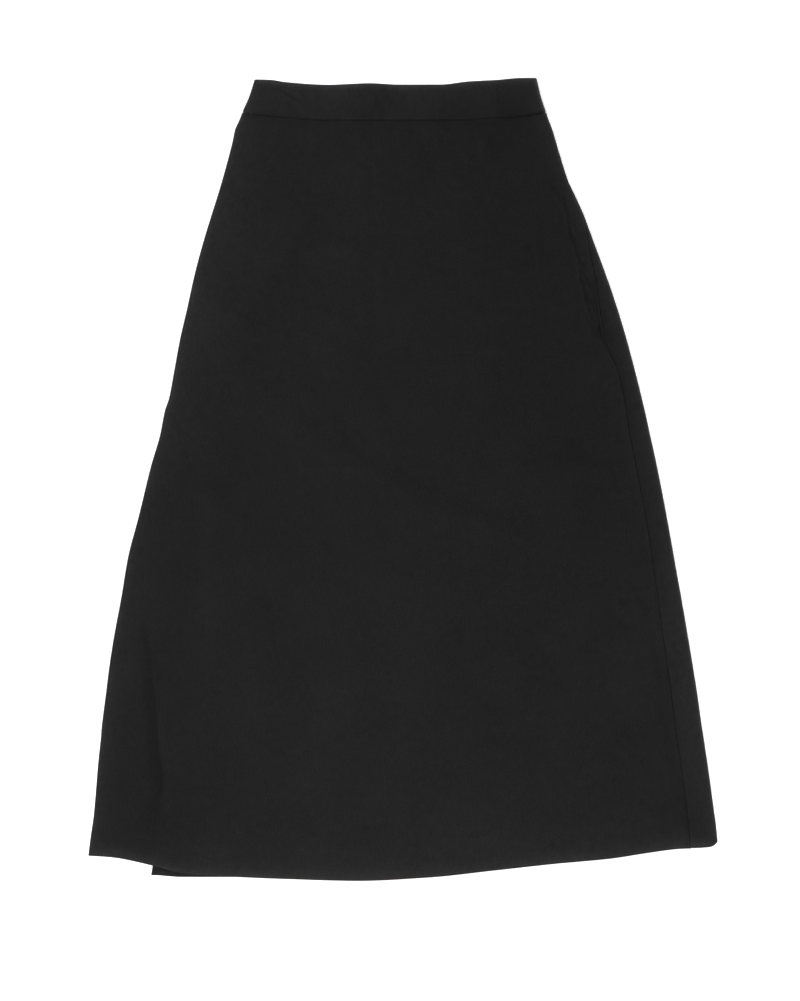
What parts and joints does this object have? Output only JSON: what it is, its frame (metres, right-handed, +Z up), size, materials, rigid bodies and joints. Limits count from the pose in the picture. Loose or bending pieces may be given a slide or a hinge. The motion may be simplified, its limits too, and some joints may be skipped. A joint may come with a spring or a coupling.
{
  "type": "midi skirt",
  "caption": "Plain black A-line midi skirt laid flat, with a straight waistband, a concealed side zip and an open slit in each side seam.",
  "frame": {"origin": "middle of the skirt's outline as it lies, on the surface that it lies on", "axes": "+X to the right and +Y up to the waist as seen from above, +Z up, out of the front panel"},
  "size_m": [0.7088, 0.9038, 0.0068],
  "materials": {
    "cloth": "smooth matt black crepe with a faint even grain",
    "waistband": "the same black crepe, interfaced and smooth",
    "zip_tape": "fine woven black tape",
    "zip_metal": "black enamel, half gloss"
  },
  "bodies": {
    "root": {"front_panel": "cloth", "back_panel": "cloth", "waistband_front": "waistband", "waistband_back": "waistband", "zip_tape": "zip_tape", "zip_slider": "zip_metal"}
  },
  "joints": []
}
